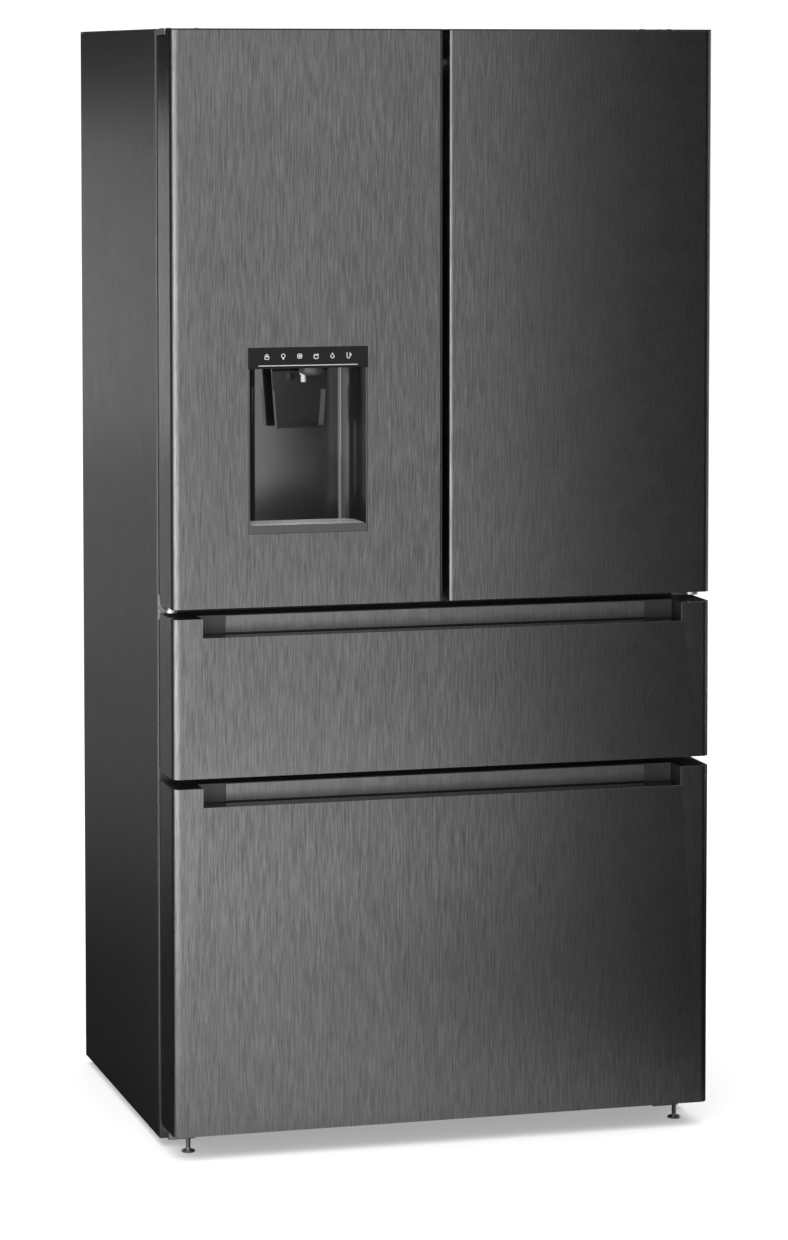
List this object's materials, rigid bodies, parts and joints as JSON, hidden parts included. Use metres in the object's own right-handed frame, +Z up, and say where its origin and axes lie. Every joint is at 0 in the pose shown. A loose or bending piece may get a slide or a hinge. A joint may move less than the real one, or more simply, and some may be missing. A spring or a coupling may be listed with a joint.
{
  "type": "french door refrigerator",
  "caption": "French door refrigerator with hinged doors over a middle drawer and a freezer drawer, recessed handles and a water and ice dispenser in the left door.",
  "frame": {"origin": "on the floor, in the middle of the footprint, which the fronts belong to", "axes": "+Z up, -Y out of the front, +X to the right for someone facing the front"},
  "size_m": [0.91, 0.72, 1.822],
  "materials": {
    "front_steel": "satin",
    "side_steel": "satin",
    "strip_steel": "satin",
    "zinc_steel": "satin",
    "black_plastic": "satin",
    "niche_plastic": "gloss",
    "panel_black": "gloss",
    "nozzle_silver": "satin",
    "gasket_rubber": "matte",
    "liner_white": "satin",
    "foam": "matte",
    "fin_aluminium": "satin",
    "compressor_paint": "satin",
    "shelf_glass": "gloss",
    "clear_plastic": "gloss"
  },
  "bodies": {
    "cabinet": {"outer_wrapper": "side_steel", "top_cover": "black_plastic", "rear_panel": "zinc_steel", "machine_cover": "zinc_steel", "base_pan": "zinc_steel", "insulation": "foam", "front_frame": "side_steel", "fridge_liner": "liner_white", "flex_liner": "liner_white", "freezer_liner": "liner_white", "air_duct": "liner_white", "ice_maker": "liner_white", "shelf_lower": "shelf_glass", "shelf_middle": "shelf_glass", "shelf_upper": "shelf_glass", "evaporator": "fin_aluminium", "compressor": "compressor_paint", "condenser": "fin_aluminium", "flex_rails": "zinc_steel", "freezer_rails": "zinc_steel", "crisper_left": "clear_plastic", "crisper_right": "clear_plastic", "hinge_top_left": "zinc_steel", "hinge_top_right": "zinc_steel", "hinge_middle_left": "zinc_steel", "hinge_middle_right": "zinc_steel"},
    "door_left": {"door_left_skin": "front_steel", "door_left_liner": "black_plastic", "door_left_gasket": "gasket_rubber", "door_left_rack_lower": "clear_plastic", "door_left_rack_upper": "clear_plastic", "dispenser_housing": "niche_plastic", "dispenser_panel": "panel_black", "dispenser_nozzle": "nozzle_silver"},
    "door_right": {"door_right_skin": "front_steel", "door_right_liner": "black_plastic", "door_right_gasket": "gasket_rubber", "door_right_rack_lower": "clear_plastic", "door_right_rack_middle": "clear_plastic", "door_right_rack_upper": "clear_plastic"},
    "mullion": {"mullion_flap": "black_plastic"},
    "paddle": {"dispenser_paddle": "niche_plastic"},
    "drip_tray_body": {"drip_tray": "niche_plastic"},
    "flex_drawer": {"flex_front_skin": "front_steel", "flex_front_liner": "black_plastic", "flex_handle_strip": "strip_steel", "flex_gasket": "gasket_rubber", "flex_frame": "zinc_steel", "flex_bin": "clear_plastic"},
    "freezer_drawer": {"freezer_front_skin": "front_steel", "freezer_front_liner": "black_plastic", "freezer_handle_strip": "strip_steel", "freezer_gasket": "gasket_rubber", "freezer_frame": "zinc_steel", "freezer_bin": "clear_plastic"},
    "freezer_tray_body": {"freezer_tray": "clear_plastic"},
    "foot_left_body": {"foot_left": "zinc_steel"},
    "foot_right_body": {"foot_right": "zinc_steel"},
    "roller_left_body": {"rear_roller_left": "black_plastic"},
    "roller_right_body": {"rear_roller_right": "black_plastic"}
  },
  "joints": [
    {"name": "door_left_hinge", "type": "hinge", "parent": "cabinet", "child": "door_left", "pos_m": [-0.443, -0.3, 1.36], "axis": [0, 0, -1], "range_deg": [0, 115]},
    {"name": "door_right_hinge", "type": "hinge", "parent": "cabinet", "child": "door_right", "pos_m": [0.443, -0.3, 1.36], "axis": [0, 0, 1], "range_deg": [0, 115]},
    {"name": "mullion_fold", "type": "hinge", "parent": "door_left", "child": "mullion", "pos_m": [-0.034, -0.258, 1.36], "axis": [0, 0, 1], "range_deg": [0, 90]},
    {"name": "paddle_press", "type": "hinge", "parent": "door_left", "child": "paddle", "pos_m": [-0.23075, -0.301, 1.271], "axis": [1, 0, 0], "range_deg": [0, 8], "stiffness_Nm_per_rad": 1.5, "springref_deg": -4.58},
    {"name": "drip_tray_lift", "type": "slide", "parent": "door_left", "child": "drip_tray_body", "axis": [0, 0, 1], "range_m": [0, 0.03]},
    {"name": "flex_drawer_slide", "type": "slide", "parent": "cabinet", "child": "flex_drawer", "axis": [0, -1, 0], "range_m": [0, 0.4]},
    {"name": "freezer_drawer_slide", "type": "slide", "parent": "cabinet", "child": "freezer_drawer", "axis": [0, -1, 0], "range_m": [0, 0.42]},
    {"name": "freezer_tray_slide", "type": "slide", "parent": "freezer_drawer", "child": "freezer_tray_body", "axis": [0, -1, 0], "range_m": [0, 0.18]},
    {"name": "foot_left_turn", "type": "hinge", "parent": "cabinet", "child": "foot_left_body", "pos_m": [-0.418, -0.296, 0.01], "axis": [0, 0, 1], "continuous": true},
    {"name": "foot_right_turn", "type": "hinge", "parent": "cabinet", "child": "foot_right_body", "pos_m": [0.418, -0.296, 0.01], "axis": [0, 0, 1], "continuous": true},
    {"name": "roller_left_spin", "type": "hinge", "parent": "cabinet", "child": "roller_left_body", "pos_m": [-0.4, 0.3, 0.02], "axis": [1, 0, 0], "continuous": true},
    {"name": "roller_right_spin", "type": "hinge", "parent": "cabinet", "child": "roller_right_body", "pos_m": [0.4, 0.3, 0.02], "axis": [1, 0, 0], "continuous": true}
  ],
  "couplings": [
    {"joint": "mullion_fold", "follows": "door_left_hinge", "ratio": 0.75}
  ]
}
